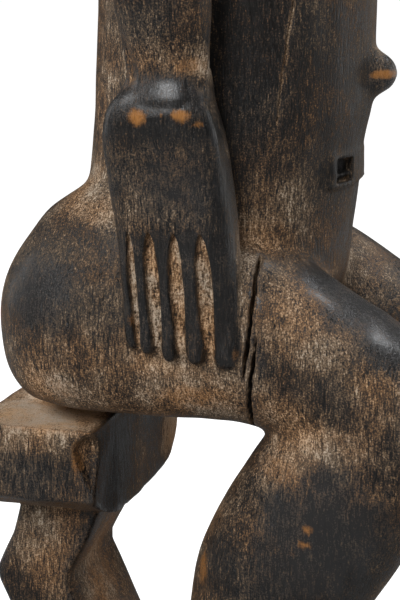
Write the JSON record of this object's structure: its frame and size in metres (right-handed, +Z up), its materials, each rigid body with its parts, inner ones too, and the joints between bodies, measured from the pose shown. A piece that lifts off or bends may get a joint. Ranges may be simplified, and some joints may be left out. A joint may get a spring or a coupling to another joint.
{
  "type": "baule spirit spouse figure",
  "caption": "Carved wooden seated figure, hands on its hips, with its stool and round base in one block; stands on a shelf as a statue.",
  "frame": {"origin": "middle of the round base's underside", "axes": "+Z up, the figure faces -Y and its right side is -X"},
  "size_m": [0.14, 0.14, 0.441],
  "materials": {
    "blackened_wood": "smoked and oiled dark hardwood, semi-gloss where handled, pale dust in the hollows, rubbed orange-brown at the high points"
  },
  "bodies": {
    "root": {"seated_figure": "blackened_wood"}
  },
  "joints": []
}
